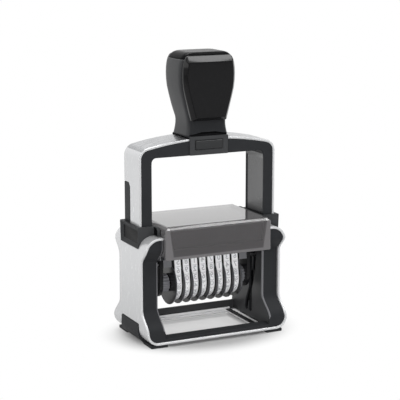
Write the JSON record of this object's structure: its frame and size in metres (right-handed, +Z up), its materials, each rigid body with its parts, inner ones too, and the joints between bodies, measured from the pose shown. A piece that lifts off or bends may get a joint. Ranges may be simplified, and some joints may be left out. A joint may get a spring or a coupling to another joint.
{
  "type": "self-inking numbering stamp",
  "caption": "Self-inking numbering stamp: a bow with a handle presses a unit of number bands that turns over from the ink pad to the paper, in an open base.",
  "frame": {"origin": "on the table, under the middle of the base", "axes": "+Z up, +X to the right and +Y to the back, as the user sees it"},
  "size_m": [0.0814, 0.0454, 0.1484],
  "materials": {
    "silver": "satin anodised silver",
    "frame_black": "moulded charcoal black",
    "cover_smoke": "smoked clear plastic",
    "cartridge_black": "moulded black",
    "ink_felt": "inked felt",
    "grip_grey": "soft touch dark grey",
    "handle_gloss": "gloss black",
    "button_grey": "gloss dark grey",
    "unit_grey": "moulded grey",
    "steel": "bright steel",
    "wheel_black": "black moulded discs",
    "band_white": "white rubber with raised numbers"
  },
  "bodies": {
    "base": {"outer_band": "silver", "base_frame": "frame_black", "left_guide_block": "frame_black", "right_guide_block": "frame_black", "left_foot": "frame_black", "right_foot": "frame_black", "cover": "cover_smoke", "left_return_spring": "steel", "right_return_spring": "steel"},
    "bow": {"bow_liner": "frame_black", "bow_band": "silver", "bridge_block": "frame_black", "handle_core": "grip_grey", "handle_cap": "handle_gloss", "handle_front_plate": "handle_gloss", "handle_back_plate": "handle_gloss", "handle_screws": "steel"},
    "number_unit": {"left_cheek": "wheel_black", "right_cheek": "wheel_black", "anvil": "unit_grey", "wheel_axle": "steel", "axle_hubs": "wheel_black", "pivot_pins": "steel", "cam_pins": "steel", "end_disc": "wheel_black", "number_band_1": "band_white", "number_band_2": "band_white", "number_band_3": "band_white", "number_band_4": "band_white", "number_band_5": "band_white", "number_band_6": "band_white", "number_band_7": "band_white", "number_band_8": "band_white"},
    "cartridge": {"ink_cartridge": "cartridge_black", "ink_pad": "ink_felt"},
    "button": {"lock_button": "button_grey"},
    "wheel_1": {"number_wheel_1": "wheel_black"},
    "wheel_2": {"number_wheel_2": "wheel_black"},
    "wheel_3": {"number_wheel_3": "wheel_black"},
    "wheel_4": {"number_wheel_4": "wheel_black"},
    "wheel_5": {"number_wheel_5": "wheel_black"},
    "wheel_6": {"number_wheel_6": "wheel_black"},
    "wheel_7": {"number_wheel_7": "wheel_black"},
    "wheel_8": {"number_wheel_8": "wheel_black"}
  },
  "joints": [
    {"name": "bow_press", "type": "slide", "parent": "base", "child": "bow", "axis": [0, 0, -1], "range_m": [0, 0.0315], "stiffness_N_per_m": 250, "springref_m": -0.03, "deforming": ["left_return_spring", "right_return_spring"]},
    {"name": "unit_flip", "type": "hinge", "parent": "bow", "child": "number_unit", "pos_m": [0, 0, 0.0395], "axis": [1, 0, 0], "range_deg": [0, 180]},
    {"name": "cartridge_slide", "type": "slide", "parent": "base", "child": "cartridge", "axis": [0, 1, 0], "range_m": [0, 0.038]},
    {"name": "lock_button_press", "type": "slide", "parent": "bow", "child": "button", "axis": [0, 1, 0], "range_m": [0, 0.002], "stiffness_N_per_m": 300, "springref_m": -0.002},
    {"name": "wheel_1_spin", "type": "hinge", "parent": "number_unit", "child": "wheel_1", "pos_m": [0, 0, 0.028], "axis": [1, 0, 0], "continuous": true},
    {"name": "wheel_2_spin", "type": "hinge", "parent": "number_unit", "child": "wheel_2", "pos_m": [0, 0, 0.028], "axis": [1, 0, 0], "continuous": true},
    {"name": "wheel_3_spin", "type": "hinge", "parent": "number_unit", "child": "wheel_3", "pos_m": [0, 0, 0.028], "axis": [1, 0, 0], "continuous": true},
    {"name": "wheel_4_spin", "type": "hinge", "parent": "number_unit", "child": "wheel_4", "pos_m": [0, 0, 0.028], "axis": [1, 0, 0], "continuous": true},
    {"name": "wheel_5_spin", "type": "hinge", "parent": "number_unit", "child": "wheel_5", "pos_m": [0, 0, 0.028], "axis": [1, 0, 0], "continuous": true},
    {"name": "wheel_6_spin", "type": "hinge", "parent": "number_unit", "child": "wheel_6", "pos_m": [0, 0, 0.028], "axis": [1, 0, 0], "continuous": true},
    {"name": "wheel_7_spin", "type": "hinge", "parent": "number_unit", "child": "wheel_7", "pos_m": [0, 0, 0.028], "axis": [1, 0, 0], "continuous": true},
    {"name": "wheel_8_spin", "type": "hinge", "parent": "number_unit", "child": "wheel_8", "pos_m": [0, 0, 0.028], "axis": [1, 0, 0], "continuous": true}
  ],
  "couplings": [
    {"joint": "unit_flip", "follows": "bow_press", "rad_per_m": 99.73}
  ]
}
